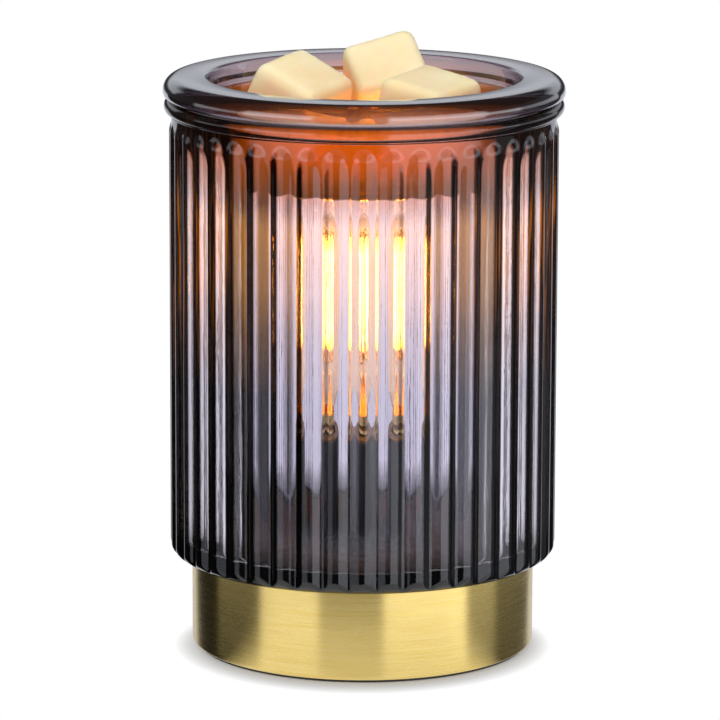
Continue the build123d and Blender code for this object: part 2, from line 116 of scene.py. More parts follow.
# Lamp
lamp_glass = 0.9 * MM
lamp_dome_round = 11.0 * MM
lamp_shoulder_height = 8.0 * MM
lamp_shoulder_round = 5.0 * MM
lamp_neck_radius = 6.35 * MM
lamp_neck_round = 2.5 * MM
lamp_steps = 96
cap_radius = 6.9 * MM
cap_sheet = 0.4 * MM
cap_skirt_length = 2.6 * MM
cap_skirt_flare = 0.5 * MM
lamp_thread_pitch = 9.9 / 3.5 * MM
lamp_thread_depth = 0.5 * MM
shell_bore_radius = 7.2 * MM
shell_sheet = 0.4 * MM
nipple_bore_radius = 3.6 * MM
nipple_pitch = 1.0 * MM
nipple_thread_depth = 0.3 * MM
thread_rows = 10
thread_crease = radians(40)
cap_steps = 72
nipple_steps = 48

# Drum
drum_sheet = 1.2 * MM
drum_edge_round = 1.0 * MM
deck_recess_radius = 19.0 * MM
deck_recess_depth = 0.8 * MM
nipple_hole_radius = 5.1 * MM
gland_hole_radius = 4.7 * MM
gland_punch_length = 20 * MM
gland_punch_steps = 48
drum_steps = 256
drum_crease = radians(35)
facing_up = 0.9

# Finishes: the usual range of a noise, the depth of relief, and the make of the glass
noise_low = 0.3
noise_high = 0.7
fine_relief = 0.1 * MM
cast_relief = 0.2 * MM
glass_ior = 1.5
pressed_grain = 520.0
pressed_roughness = 0.03
drawn_grain = 160.0
drawn_roughness = 0.04
smoke_colour = (0.34, 0.26, 0.36, 1)
# Painted lines of lamp light in glass that turns away: grain and range of their noise
streak_grain = 620.0
streak_range = (0.54, 0.62)

# Paper floor: each range gives where a change starts and ends
floor_radius = 0.2
floor_steps = 96
paper_grain = 900.0
shadow_middle = (0, -5 * MM, 0)
shadow_range = (35 * MM, 52 * MM)
# Painted shadow on the floor as seen through glass: where it fades out behind the axis
painted_shadow_depth = (60 * MM, 160 * MM)
paper_shine = 0.95
paper_reach = 150 * MM
paper_fade = 10 * MM
paper_sector = (radians(42), radians(58))

# Studio: strips of light from a bearing on, in degrees from the camera's side, each with its level.
# The ranges of rise give where a higher band of strips takes over from the one below it.
low_strips = [
    (-180, 0.8), (-150, 0.02), (-72, 0.7), (-29, 0.05),
    (14, 1.5), (74, 0.25), (100, 0.05), (150, 0.8),
]
level_strips = [
    (-180, 0.05), (-112, 0.8), (-72, 2.2), (-29, 0.4),
    (14, 2.6), (74, 1.5), (100, 0.7), (145, 0.05),
]
high_strips = [
    (-180, 0.65), (-140, 0.05), (-72, 1.4), (-29, 0.3),
    (14, 1.4), (74, 0.1), (140, 0.65),
]
level_rise = (-0.12, -0.04)
high_rise = (0.08, 0.16)
ceiling_rise = (0.30, 0.42)
backdrop_range = (-0.05, 0.1)
strip_edge = 1.5
ceiling_colour = (0.04, 0.04, 0.04, 1)
daylight = (0.94, 0.97, 1.06, 1)

# Lamps: place, side and power of the softboxes, and the light of the filament
softboxes = {
    "top softbox": ((0, -0.1, 1.2), 0.9, 9.0),
    "front softbox": ((-0.3, -1.1, 0.7), 0.7, 6.0),
}
softbox_aim = (0, 0, 0.1)
softbox_colour = (1.0, 0.97, 0.92)
glow_power = 1.0
glow_colour = (1, 0.42, 0.07)
glow_radius = 6 * MM

# Camera, fitted to the photograph
camera_place = Vector((-0.0009, -1.3435, 0.3625))
camera_aim = Vector((-0.0009, 0.0, 0.0794))
camera_lens = 248.85
camera_sensor = 36.0
camera_roll = radians(0.2)

# Bounces of light, enough to see through jar, lamp and dish
glass_bounces = 24
mirror_bounces = 8


# Mesh helpers

def rounded(corners, segments=8):
    """Outline through (radius, height, round) corners, each an arc where its round isn't nil."""
    outline = []
    for index, (radius, height, round_radius) in enumerate(corners):
        corner = Vector((radius, height))
        if round_radius == 0:
            outline.append(corner)
            continue
        to_last = (Vector(corners[index - 1][:2]) - corner).normalized()
        to_next = (Vector(corners[(index + 1) % len(corners)][:2]) - corner).normalized()
        half = to_last.angle(to_next) / 2
        middle = corner + (to_last + to_next).normalized() * round_radius / sin(half)
        start = corner + to_last * round_radius / tan(half) - middle
        end = corner + to_next * round_radius / tan(half) - middle
        sweep = start.angle_signed(end)
        for step in range(segments + 1):
            outline.append(middle + Matrix.Rotation(-sweep * step / segments, 2) @ start)
    return outline


def deselect():
    """Leave nothing selected, so that an operator acts on the new piece alone."""
    if bpy.context.object and bpy.context.object.mode != "OBJECT":
        bpy.ops.object.mode_set(mode="OBJECT")
    bpy.ops.object.select_all(action="DESELECT")


def spun(name, outline, steps, closed=True):
    """Draw an outline of (radius, height) points from one corner and spin it about the axis."""
    deselect()
    bpy.ops.mesh.primitive_plane_add(size=MM, location=(0, 0, 0))
    piece = bpy.context.object
    piece.name = name
    piece.data.name = name
    bpy.ops.object.mode_set(mode="EDIT")
    bpy.ops.mesh.select_mode(type="VERT")
    bpy.ops.mesh.select_all(action="SELECT")
    bpy.ops.mesh.merge(type="CENTER")
    bpy.ops.transform.translate(value=(outline[0][0], 0, outline[0][1]))
    path = list(outline) + ([outline[0]] if closed else [])
    for last, point in zip(path, path[1:]):
        step = (point[0] - last[0], 0, point[1] - last[1])
        bpy.ops.mesh.extrude_region_move(TRANSFORM_OT_translate={"value": step})
    bpy.ops.mesh.select_all(action="SELECT")
    bpy.ops.mesh.remove_doubles(threshold=TOUCH)
    bpy.ops.mesh.spin(steps=steps, angle=2 * pi, center=(0, 0, 0), axis=(0, 0, 1))
    bpy.ops.mesh.select_all(action="SELECT")
    bpy.ops.mesh.remove_doubles(threshold=TOUCH)
    bpy.ops.mesh.normals_make_consistent(inside=False)
    bpy.ops.object.mode_set(mode="OBJECT")
    bpy.ops.object.shade_smooth()
    return piece


def rows(radius, low, high, pitch):
    """Outline points up a straight wall, close enough together to carry a thread of that pitch."""
    count = max(int((high - low) / pitch * thread_rows), 2)
    return [Vector((radius, low + (high - low) * row / count)) for row in range(count + 1)]


def threaded(piece, least_radius, low, high, pitch, depth):
    """Roll a right-hand thread into the walls of a turned piece between two heights."""
    for vertex in piece.data.vertices:
        x, y, z = vertex.co
        radius = hypot(x, y)
        if radius < least_radius or not low <= z <= high:
            continue
        fade = min(1, (z - low) / pitch, (high - z) / pitch)
        wave = 0.5 - 0.5 * cos(2 * pi * z / pitch - atan2(y, x))
        factor = 1 - depth * fade * wave / radius
        vertex.co = (x * factor, y * factor, z)


def finished(piece, body, slot, material, *replaced):
    """Give a piece its finish, let it ride on its body and let it stand for CAD nodes."""
    piece.data.materials.clear()
    piece.data.materials.append(material)
    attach(piece, body)
    if replaced:
        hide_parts(*replaced)
    return piece


# Shader helpers

def fill(tree, socket, value):
    """Set an input to a plain value, or link it to another node's output."""
    if isinstance(value, bpy.types.NodeSocket):
        tree.links.new(value, socket)
    else:
        socket.default_value = value


def add_node(tree, kind, *values, **inputs):
    """Add a node. Plain arguments fill its inputs in order, named ones by name, with _ for a space."""
    made = tree.nodes.new(kind)
    for socket, value in zip(made.inputs, values):
        fill(tree, socket, value)
    for name, value in inputs.items():
        fill(tree, made.inputs[name.replace("_", " ")], value)
    return made


def math_node(tree, operation, *values):
    """Result of a Math node with numbers or sockets as its inputs."""
    made = add_node(tree, "ShaderNodeMath", *values)
    made.operation = operation
    return made.outputs[0]


def spread(tree, value, low, high, to_low=0.0, to_high=1.0):
    """Value taken from one range to another, and held at its ends."""
    return add_node(tree, "ShaderNodeMapRange", value, low, high, to_low, to_high).outputs["Result"]


def colour_ramp(tree, value, *stops):
    """Colour that a value picks from (position, colour) stops."""
    made = add_node(tree, "ShaderNodeValToRGB", value)
    elements = made.color_ramp.elements
    while len(elements) < len(stops):
        elements.new(1.0)
    for element, (position, colour) in zip(elements, stops):
        element.position = position
        element.color = (*colour, 1)
    return made.outputs["Color"]


def object_place(tree, stretch=(1, 1, 1)):
    """Object coordinates, stretched along the axes."""
    place = add_node(tree, "ShaderNodeTexCoord").outputs["Object"]
    return add_node(tree, "ShaderNodeMapping", Vector=place, Scale=stretch).outputs["Vector"]


def object_height(tree):
    """Height in object coordinates."""
    place = add_node(tree, "ShaderNodeTexCoord").outputs["Object"]
    return add_node(tree, "ShaderNodeSeparateXYZ", place).outputs["Z"]


def bearing_of(tree, parts):
    """Bearing of a place or direction from the camera's side, from its X and Y."""
    toward_camera = math_node(tree, "MULTIPLY", parts["Y"], -1.0)
    return math_node(tree, "ARCTAN2", parts["X"], toward_camera)


def noise(tree, place, scale, detail=3.0):
    """Grey noise at a place."""
    return add_node(tree, "ShaderNodeTexNoise", Vector=place, Scale=scale, Detail=detail).outputs["Fac"]


def bumped(tree, shader, height, strength, depth):
    """Let a height stand out of the surface of a shader."""
    bump = add_node(tree, "ShaderNodeBump", Strength=strength, Distance=depth, Height=height)
    tree.links.new(bump.outputs["Normal"], shader.inputs["Normal"])


def clad(tree, shader, skin, strength, depth):
    """Take colour, gloss and relief of a shader from a skin group."""
    tree.links.new(skin["Colour"], shader.inputs["Base Color"])
    tree.links.new(skin["Roughness"], shader.inputs["Roughness"])
    bumped(tree, shader, skin["Height"], strength, depth)


def principled(name, **inputs):
    """New material with its tree and its shader."""
    material = bpy.data.materials.new(name)
    material.use_nodes = True
    tree = material.node_tree
    shader = tree.nodes["Principled BSDF"]
    for socket, value in inputs.items():
        fill(tree, shader.inputs[socket.replace("_", " ")], value)
    return material, tree, shader


def shader_group(name, inputs, outputs):
    """Empty node group, with its inputs as outputs of a node and its outputs as inputs of another."""
    tree = bpy.data.node_groups.new(name, "ShaderNodeTree")
    for label, value in inputs.items():
        kind = "NodeSocketColor" if isinstance(value, tuple) else "NodeSocketFloat"
        tree.interface.new_socket(name=label, in_out="INPUT", socket_type=kind).default_value = value
    for label, kind in outputs.items():
        tree.interface.new_socket(name=label, in_out="OUTPUT", socket_type=kind)
    return tree, tree.nodes.new("NodeGroupInput").outputs, tree.nodes.new("NodeGroupOutput").inputs


def use_group(tree, group, **inputs):
    """Place a node group in a material with its own values."""
    made = tree.nodes.new("ShaderNodeGroup")
    made.node_tree = group
    for name, value in inputs.items():
        fill(tree, made.inputs[name.replace("_", " ")], value)
    return made.outputs


def skin_group(name):
    """Empty group of a skin: two tones and a range of gloss in, colour, roughness and height out."""
    inputs = {
        "Grain": 260.0,
        "Dark": (0, 0, 0, 1),
        "Light": (1, 1, 1, 1),
        "Gloss low": 0.3,
        "Gloss high": 0.5,
    }
    outputs = {"Colour": "NodeSocketColor", "Roughness": "NodeSocketFloat", "Height": "NodeSocketFloat"}
    return shader_group(name, inputs, outputs)


def fill_skin(tree, given, result, tone_by, gloss_by, height):
    """Outputs of a skin: tone and gloss, each by the noise given for it, and height."""
    share = spread(tree, tone_by, noise_low, noise_high)
    tone = add_node(tree, "ShaderNodeMixRGB", share, given["Dark"], given["Light"]).outputs["Color"]
    tree.links.new(tone, result["Colour"])
    gloss = spread(tree, gloss_by, noise_low, noise_high, given["Gloss low"], given["Gloss high"])
    tree.links.new(gloss, result["Roughness"])
    tree.links.new(height, result["Height"])


def blended(tree, first, second, first_share):
    """Two values, each by its share."""
    rest = math_node(tree, "MULTIPLY", second, 1 - first_share)
    return math_node(tree, "MULTIPLY_ADD", first, first_share, rest)


def make_mottle():
    """Group: two tones that drift into each other, with an uneven gloss and a fine grain."""
    tree, given, result = skin_group("mottle")
    fineness = 6.0
    place = object_place(tree)
    cloud = noise(tree, place, given["Grain"], 4.0)
    fine = noise(tree, place, math_node(tree, "MULTIPLY", given["Grain"], fineness), 2.0)
    fill_skin(tree, given, result, cloud, cloud, fine)
    return tree


def make_turned_lines():
    """Group: fine lines that run round the upright axis, as brushing or turning leaves them."""
    tree, given, result = skin_group("turned lines")
    lines = noise(tree, object_place(tree, (1, 1, 90)), given["Grain"], 5.0)
    smudge = noise(tree, object_place(tree, (1, 1, 3)), given["Grain"], 2.0)
    lines_share = 0.6
    fill_skin(tree, given, result, lines, blended(tree, lines, smudge, lines_share), lines)
    return tree


def make_mould_ripple():
    """Group: the uneven skin of pressed or drawn glass, long ripples and short ones."""
    tree, given, result = shader_group("mould ripple", {"Grain": 600.0}, {"Height": "NodeSocketFloat"})
    long_ripple = noise(tree, object_place(tree, (1, 1, 0.06)), given["Grain"])
    short_ripple = noise(tree, object_place(tree, (1, 1, 0.5)), given["Grain"])
    long_share = 0.7
    tree.links.new(blended(tree, long_ripple, short_ripple, long_share), result["Height"])
    return tree


mottle = make_mottle()
turned_lines = make_turned_lines()
mould_ripple = make_mould_ripple()


def plain_material(name, colour, roughness, metallic=0.0, grain=260.0, relief=0.05, specular=0.5):
    """Finish of a moulded, cast or coated part: faint mottling, uneven gloss and a fine grain."""
    material, tree, shader = principled(name, Metallic=metallic, Specular_IOR_Level=specular)
    skin = use_group(
        tree,
        mottle,
        Grain=grain,
        Dark=(*(share * 0.75 for share in colour), 1),
        Light=(*(min(share * 1.2, 1) for share in colour), 1),
        Gloss_low=roughness * 0.8,
        Gloss_high=roughness * 1.2,
    )
    clad(tree, shader, skin, relief, fine_relief)
    return material


def turned_metal(name, colour, roughness):
    """Finish of a turned or rolled metal part, with fine lines round its axis."""
    material, tree, shader = principled(name, Metallic=1.0)
    lines = use_group(
        tree,
        turned_lines,
        Grain=140.0,
        Dark=(*(share * 0.8 for share in colour), 1),
        Light=(*(min(share * 1.15, 1) for share in colour), 1),
        Gloss_low=roughness * 0.8,
        Gloss_high=roughness * 1.3,
    )
    clad(tree, shader, lines, 0.06, fine_relief)
    return material


# Smoked glass of the jar and the dish

def clear_for_shadows(tree, shader, colour):
    """Let lamps shine through glass: shadow rays pass it with a tint."""
    light_path = add_node(tree, "ShaderNodeLightPath")
    clear = add_node(tree, "ShaderNodeBsdfTransparent", Color=colour)
    shadow = light_path.outputs["Is Shadow Ray"]
    mix = add_node(tree, "ShaderNodeMixShader", shadow, shader.outputs[0], clear.outputs[0])
    tree.links.new(mix.outputs[0], tree.nodes["Material Output"].inputs["Surface"])


def by_height(tree, height, *stops):
    """Colour by (height, colour) stops."""
    low, high = stops[0][0], stops[-1][0]
    rise = spread(tree, height, low, high)
    return colour_ramp(tree, rise, *(((stop - low) / (high - low), colour) for stop, colour in stops))


def grey(level):
    """Grey of a level."""
    return (level, level, level)


def multiplied(tree, first, second):
    """Product of two colours."""
    made = add_node(tree, "ShaderNodeMixRGB", 1.0, first, second)
    made.blend_type = "MULTIPLY"
    return made.outputs["Color"]


def smoked_glass(
    name, tint, shade, facing, glow_facing, coat, density, ripple, drift,
    painted_shade_by_height, painted_glow, faint, painted_streak, lit, shadow,
):
    """Lustred smoked glass: clear where it faces the eye, painted shade where it turns away, painted lamp
    glow.

    Painted shade by height and the painted glow are given by (height, colour) stops. The glow is that of
    clear glass, and dark glass has bright lines of painted lamp light over a faint ground where it is lit,
    by (height, share) stops. Ripples in the glass move the stops of the glow up or down by the drift.
    """
    material, tree, shader = principled(
        name,
        Transmission_Weight=1.0,
        IOR=glass_ior,
        Coat_Weight=coat,
        Coat_IOR=1.9,
        Coat_Roughness=0.02,
        Emission_Strength=1.0,
    )
    height = object_height(tree)
    turned_away = add_node(tree, "ShaderNodeLayerWeight", Blend=0.5).outputs["Facing"]
    # Painted shade: the colour goes dark where the glass turns away from the eye
    clear = colour_ramp(tree, turned_away, (facing[0], tint), (facing[1], shade))
    # Painted shade by height, from the stops given, multiplies the clear colour
    smoked = by_height(tree, height, *painted_shade_by_height)
    tree.links.new(multiplied(tree, clear, smoked), shader.inputs["Base Color"])
    ripples = use_group(tree, mould_ripple, Grain=pressed_grain)["Height"]
    bumped(tree, shader, ripples, ripple, cast_relief)
    unevenness = spread(tree, ripples, noise_low, noise_high, 0.0, pressed_roughness)
    tree.links.new(unevenness, shader.inputs["Roughness"])
    lower = math_node(tree, "ADD", height, -drift)
    drifted = math_node(tree, "MULTIPLY_ADD", ripples, 2 * drift, lower)
    # Painted lamp light: a glow by height where the glass faces the eye, bright lines over a faint ground
    # where it turns away
    glow = by_height(tree, drifted, *painted_glow)
    lines = noise(tree, object_place(tree, (1, 1, 0.03)), streak_grain, 2.0)
    painted_streak_lines = colour_ramp(tree, lines, (streak_range[0], faint), (streak_range[1], painted_streak))
    shares = by_height(tree, drifted, *((stop, grey(share)) for stop, share in lit))
    away = spread(tree, turned_away, *glow_facing)
    painted_light = add_node(tree, "ShaderNodeMixRGB", away, glow, multiplied(tree, painted_streak_lines, shares))
    tree.links.new(painted_light.outputs["Color"], shader.inputs["Emission Color"])
    clear_for_shadows(tree, shader, (*shadow, 1))
    volume = add_node(tree, "ShaderNodeVolumeAbsorption", Color=smoke_colour, Density=density)
    tree.links.new(volume.outputs[0], tree.nodes["Material Output"].inputs["Volume"])
    return material


dark = (0, 0, 0)
jar_glass = smoked_glass(
    "smoked jar glass",
    tint=(0.82, 0.79, 0.90),
    shade=(0.0006, 0.0004, 0.0004),
    facing=(0.16, 0.29),
    glow_facing=(0.12, 0.29),
    coat=0.15,
    density=20.0,
    ripple=0.25,
    drift=10 * MM,
    # painted shade by height: dark at the foot, darker and orange-brown round the neck and bead
    painted_shade_by_height=[
        (28 * MM, grey(0.15)),
        (32 * MM, grey(0.3)),
        (38 * MM, grey(1.0)),
        (126 * MM, grey(1.0)),
        (133 * MM, (0.8, 0.6, 0.5)),
        (140 * MM, (0.6, 0.36, 0.27)),
        (149 * MM, (0.6, 0.36, 0.27)),
        (152 * MM, grey(0.5)),
    ],
    # painted glow of lamp light by height
    painted_glow=[
        (78 * MM, dark),
        (96 * MM, (0.06, 0.026, 0.004)),
        (108 * MM, (0.15, 0.064, 0.009)),
        (124 * MM, (0.21, 0.085, 0.01)),
        (131 * MM, (0.05, 0.015, 0.001)),
        (141 * MM, (0.17, 0.036, 0.001)),
        (149 * MM, (0.22, 0.042, 0.0)),
        (155 * MM, (0.12, 0.02, 0.0)),
    ],
    # painted lamp light where the glass turns away: faint ground, bright lines, and where they show
    faint=(0.008, 0.002, 0.0),
    painted_streak=(0.30, 0.08, 0.002),
    lit=[
        (78 * MM, 0.0),
        (96 * MM, 0.25),
        (108 * MM, 0.7),
        (124 * MM, 1.0),
        (134 * MM, 0.1),
        (152 * MM, 0.03),
    ],
    shadow=(0.35, 0.32, 0.36),
)
dish_glass = smoked_glass(
    "smoked dish glass",
    tint=(0.92, 0.88, 0.92),
    shade=(0.002, 0.0015, 0.0015),
    facing=(0.45, 0.95),
    glow_facing=(0.05, 0.28),
    coat=1.0,
    density=110.0,
    ripple=0.06,
    drift=1 * MM,
    # painted shade by height: dark brown low on the bowl, orange-brown above it, none at the flange
    painted_shade_by_height=[
        (130 * MM, (0.16, 0.09, 0.08)),
        (138 * MM, (0.16, 0.09, 0.08)),
        (141 * MM, (0.24, 0.09, 0.05)),
        (148 * MM, (0.24, 0.09, 0.05)),
        (153 * MM, grey(1.0)),
    ],
    # painted glow of lamp light by height
    painted_glow=[
        (134 * MM, dark),
        (137 * MM, (0.03, 0.008, 0.0)),
        (143 * MM, (0.40, 0.09, 0.003)),
        (150 * MM, (0.50, 0.12, 0.003)),
        (155 * MM, (0.18, 0.045, 0.001)),
        (157 * MM, dark),
    ],
    # painted lamp light where the glass turns away: faint ground, bright lines, and where they show
    faint=(0.02, 0.004, 0.0),
    painted_streak=(0.02, 0.004, 0.0),
    lit=[
        (134 * MM, 0.0),
        (138 * MM, 0.5),
        (143 * MM, 1.0),
        (148 * MM, 0.5),
        (153 * MM, 0.0),
    ],
    shadow=(0.75, 0.70, 0.72),
)

# Fluted jar
bead_reach = jar_high.x
jar_rim = jar_high.z
jar_bottom = jar_low.z
rib_crest = bead_reach - bead_radius + neck_inset
rib_valley = rib_crest - rib_depth
neck_radius = rib_crest - neck_inset
bore_radius = rib_crest - jar_wall
rib_top = jar_rim - rib_end_below_rim
neck_start = rib_top - rib_shoulder
bead_bottom = jar_rim - 2 * bead_radius


def softer_of(first, second, blend):
    """The larger of two lengths, with a soft change from one to the other."""
    share = max(blend - abs(first - second), 0) / blend
    return max(first, second) + share * share * blend / 4


def quarter_round(radius, depth):
    """How far a quarter round has drawn in at a depth into it."""
    return radius - sqrt(max(radius**2 - min(max(depth, 0), radius) ** 2, 0))


def fluted_radius(angle, height):
    """Outer radius of the jar: round ribs that end in arches under the neck and run out at the foot."""
    pitches = angle * rib_count / (2 * pi)
    across = 2 * abs(pitches - round(pitches))
    along = max(height - neck_start, 0) / rib_tip
    wave = cos(min(hypot(across, along), 1) * pi / 2)
    crest = sqrt(wave**2 + rib_valley_softness**2) - rib_valley_softness
    crest /= sqrt(1 + rib_valley_softness**2) - rib_valley_softness
    flute = rib_valley + rib_depth * crest
    foot = quarter_round(jar_corner_round, jar_bottom + jar_corner_round - height)
    body = rib_crest - foot
    rise = min(max((height - neck_start + flute_run_out) / flute_run_out, 0), 1)
    core = rib_valley - neck_blend + (neck_radius - rib_valley + neck_blend) * rise
    return softer_of(-softer_of(-flute, -body, rib_blend), core, neck_blend)


def make_jar():
    """Jar with a glass floor, ribs outside, a smooth bore, and a rolled bead round its mouth."""
    outline = rounded(
        [
            (jar_hole_radius, jar_bottom, 0),
            (rib_crest, jar_bottom, jar_corner_round),
            (rib_crest, neck_start, 0),
        ],
        segments=10,
    )[:-1]
    row_from = jar_bottom + jar_corner_round
    row_to = neck_start - flute_run_out - rib_blend
    for row in range(1, straight_rows):
        outline.append(Vector((rib_crest, row_from + (row_to - row_from) * row / straight_rows)))
    for row in range(arch_rows + 1):
        outline.append(Vector((rib_crest, row_to + (rib_top - row_to) * row / arch_rows)))
    bead_round = bead_radius * bead_fullness
    outline += rounded(
        [
            (neck_radius, rib_top, 0),
            (neck_radius, bead_bottom, bead_blend),
            (neck_radius + bead_radius, bead_bottom, bead_round),
            (neck_radius + bead_radius, jar_rim, bead_round),
            (bore_radius, jar_rim, rim_inner_round),
            (bore_radius, jar_bottom + jar_floor, jar_inner_round),
            (jar_hole_radius, jar_bottom + jar_floor, 0),
        ],
        segments=7,
    )[1:]
    jar = spun("fluted_jar", outline, rib_count * rib_steps)
    for vertex in jar.data.vertices:
        x, y, z = vertex.co
        radius = hypot(x, y)
        if radius > bore_radius + MM and jar_bottom + TOUCH < z <= rib_top + TOUCH:
            factor = fluted_radius(atan2(y, x), z) / radius
            vertex.co = (x * factor, y * factor, z)
    return jar


def frost_floor(jar):
    """Give the floor of the jar its matt, dark finish."""
    frosted = plain_material("frosted floor glass", (0.006, 0.004, 0.004), 0.6, specular=0.15)
    jar.data.materials.append(frosted)
    for face in jar.data.polygons:
        if hypot(face.center.x, face.center.y) < bore_radius - jar_inner_round:
            face.material_index = 1


frost_floor(finished(make_jar(), "base", "smoked_glass", jar_glass, "glass_shade"))


# Dish

def make_dish():
    """Bowl with a wide rounded flange that rests on the bead of the jar."""
    reach = dish_high.x
    top = dish_high.z
    bottom = dish_low.z
    seat = top - dish_flange_thickness
    floor = bottom + dish_base
    bowl = dish_mouth_radius + dish_wall
    foot = bowl - (seat - bottom) * tan(dish_wall_slope)
    floor_edge = dish_mouth_radius - (top - floor) * tan(dish_wall_slope)
    outline = rounded(
        [
            (0, bottom, 0),
            (foot, bottom, dish_foot_round),
            (bowl, seat, dish_flange_under_round),
            (reach, seat, dish_flange_under_round),
            (reach, top, dish_flange_top_round),
            (dish_mouth_radius, top, dish_lip_round),
            (floor_edge, floor, dish_cove),
            (0, floor, 0),
        ],
        segments=10,
    )
    return spun("wax_dish", outline, dish_steps, closed=False)


finished(make_dish(), "dish", "smoked_glass", dish_glass, "glass_dish")


# Wax

def wax_material():
    """Cream wax that lets some light through, with a faint cloudiness and small scuffs."""
    material, tree, shader = principled(
        "cream wax",
        Subsurface_Weight=0.7,
        Subsurface_Radius=(1.0, 0.7, 0.3),
        Subsurface_Scale=6 * MM,
    )
    cast = use_group(
        tree,
        mottle,
        Grain=70.0,
        Dark=(0.90, 0.72, 0.42, 1),
        Light=(0.97, 0.83, 0.56, 1),
        Gloss_low=0.3,
        Gloss_high=0.5,
    )
    clad(tree, shader, cast, 0.2, cast_relief)
    return material


def apply_modifiers(piece):
    """Make the result of all modifiers the mesh of the piece."""
    bpy.context.view_layer.objects.active = piece
    for modifier in list(piece.modifiers):
        bpy.ops.object.modifier_apply(modifier=modifier.name)


def middle_of(spots, axis):
    """Middle of the range that spots take along an axis."""
    places = [spot[axis] for spot in spots]
    return (min(places) + max(places)) / 2


def make_wax_cube(side, pose):
    """Cast cube with a draft, worn edges and wavy faces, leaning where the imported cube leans."""
    low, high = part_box(f"wax_cube_{side}")
    lean, heading, turn = (radians(angle) for angle in pose)
    deselect()
    bpy.ops.mesh.primitive_cube_add(size=1, location=(0, 0, 0))
    cube = bpy.context.object
    cube.name = f"wax_melt_{side}"
    bpy.ops.object.mode_set(mode="EDIT")
    bpy.ops.mesh.select_all(action="SELECT")
    bpy.ops.transform.resize(value=(wax_side, wax_side, wax_height))
    edge_reach = wax_edge_round * wax_bevel_reach
    bpy.ops.mesh.bevel(offset=edge_reach, segments=6, profile=0.5, affect="EDGES")
    bpy.ops.object.mode_set(mode="OBJECT")
    for vertex in cube.data.vertices:
        rise = vertex.co.z / wax_height + 0.5
        draft = 1 + (wax_top_side / wax_side - 1) * rise
        vertex.co.x *= draft
        vertex.co.y *= draft
    tilt = Matrix.Rotation(heading, 4, "Z") @ Matrix.Rotation(lean, 4, "Y") @ Matrix.Rotation(turn, 4, "Z")
    cube.data.transform(tilt)
    spots = [vertex.co for vertex in cube.data.vertices]
    centre = (low + high) / 2
    shift = [centre[axis] - middle_of(spots, axis) for axis in range(3)]
    cube.data.transform(Matrix.Translation(shift))
    remesh = cube.modifiers.new("even grid", "REMESH")
    remesh.mode = "VOXEL"
    remesh.voxel_size = wax_grain
    clouds = bpy.data.textures.new(f"wax waves {side}", "CLOUDS")
    clouds.noise_scale = wax_wave_length
    waves = cube.modifiers.new("wavy faces", "DISPLACE")
    waves.texture = clouds
    waves.texture_coords = "LOCAL"
    waves.strength = wax_waviness
    waves.mid_level = 1.0
    smooth = cube.modifiers.new("worn edges", "SMOOTH")
    smooth.factor = 0.5
    smooth.iterations = wax_smoothing
    apply_modifiers(cube)
    bpy.ops.object.shade_smooth()
    return cube


wax = wax_material()
for side, pose in wax_poses.items():
    finished(make_wax_cube(side, pose), f"wax_{side}", "wax", wax, f"wax_cube_{side}")


# Drum

def gold_material():
    """Satin gold metal, brushed round the drum."""
    material, tree, shader = principled(
        "brushed gold",
        Metallic=1.0,
        Anisotropic=1.0,
        Anisotropic_Rotation=0.25,
    )
    brushed = use_group(
        tree,
        turned_lines,
        Grain=55.0,
        Dark=(0.74, 0.53, 0.15, 1),
        Light=(0.90, 0.70, 0.27, 1),
        Gloss_low=0.22,
        Gloss_high=0.32,
    )
    clad(tree, shader, brushed, 0.1, fine_relief)
    round_the_drum = tree.nodes.new("ShaderNodeTangent")
    round_the_drum.direction_type = "RADIAL"
    round_the_drum.axis = "Z"
    tree.links.new(round_the_drum.outputs["Tangent"], shader.inputs["Tangent"])
    return material


def make_drum():
    """Drawn shell with a deck, a pressed recess under the jar and a hole for the cord entry."""
    reach = drum_high.x
    inner = reach - drum_sheet
    bottom = drum_low.z
    recess = jar_bottom - deck_recess_depth
    outline = rounded(
        [
            (inner, bottom, 0),
            (reach, bottom, drum_edge_round),
            (reach, jar_bottom, drum_edge_round),
            (deck_recess_radius, jar_bottom, 0),
            (deck_recess_radius, recess, 0),
            (nipple_hole_radius, recess, 0),
            (nipple_hole_radius, recess - drum_sheet, 0),
            (deck_recess_radius + drum_sheet, recess - drum_sheet, 0),
            (deck_recess_radius + drum_sheet, jar_bottom - drum_sheet, 0),
            (inner, jar_bottom - drum_sheet, 0),
        ],
        segments=6,
    )
    drum = spun("gold_drum", outline, drum_steps)
    deselect()
    gland_height = (gland_low.z + gland_high.z) / 2
    bpy.ops.mesh.primitive_cylinder_add(
        vertices=gland_punch_steps,
        radius=gland_hole_radius,
        depth=gland_punch_length,
        location=(0, reach, gland_height),
        rotation=(pi / 2, 0, 0),
    )
    punch = bpy.context.object
    hole = drum.modifiers.new("cord entry", "BOOLEAN")
    hole.operation = "DIFFERENCE"
    hole.solver = "EXACT"
    hole.object = punch
    apply_modifiers(drum)
    bpy.data.objects.remove(punch)
    drum.select_set(True)
    bpy.ops.object.shade_smooth_by_angle(angle=drum_crease)
    return drum


def lacquer_deck(drum):
    """Give the deck under the glass its dark lacquer."""
    drum.data.materials.append(plain_material("dark lacquer", (0.02, 0.012, 0.010), 0.35))
    for face in drum.data.polygons:
        if face.normal.z > facing_up and face.center.z > drum_high.z - 2 * drum_edge_round:
            face.material_index = 1


lacquer_deck(finished(make_drum(), "base", "brushed_gold", gold_material(), "base_shell"))


# Lamp

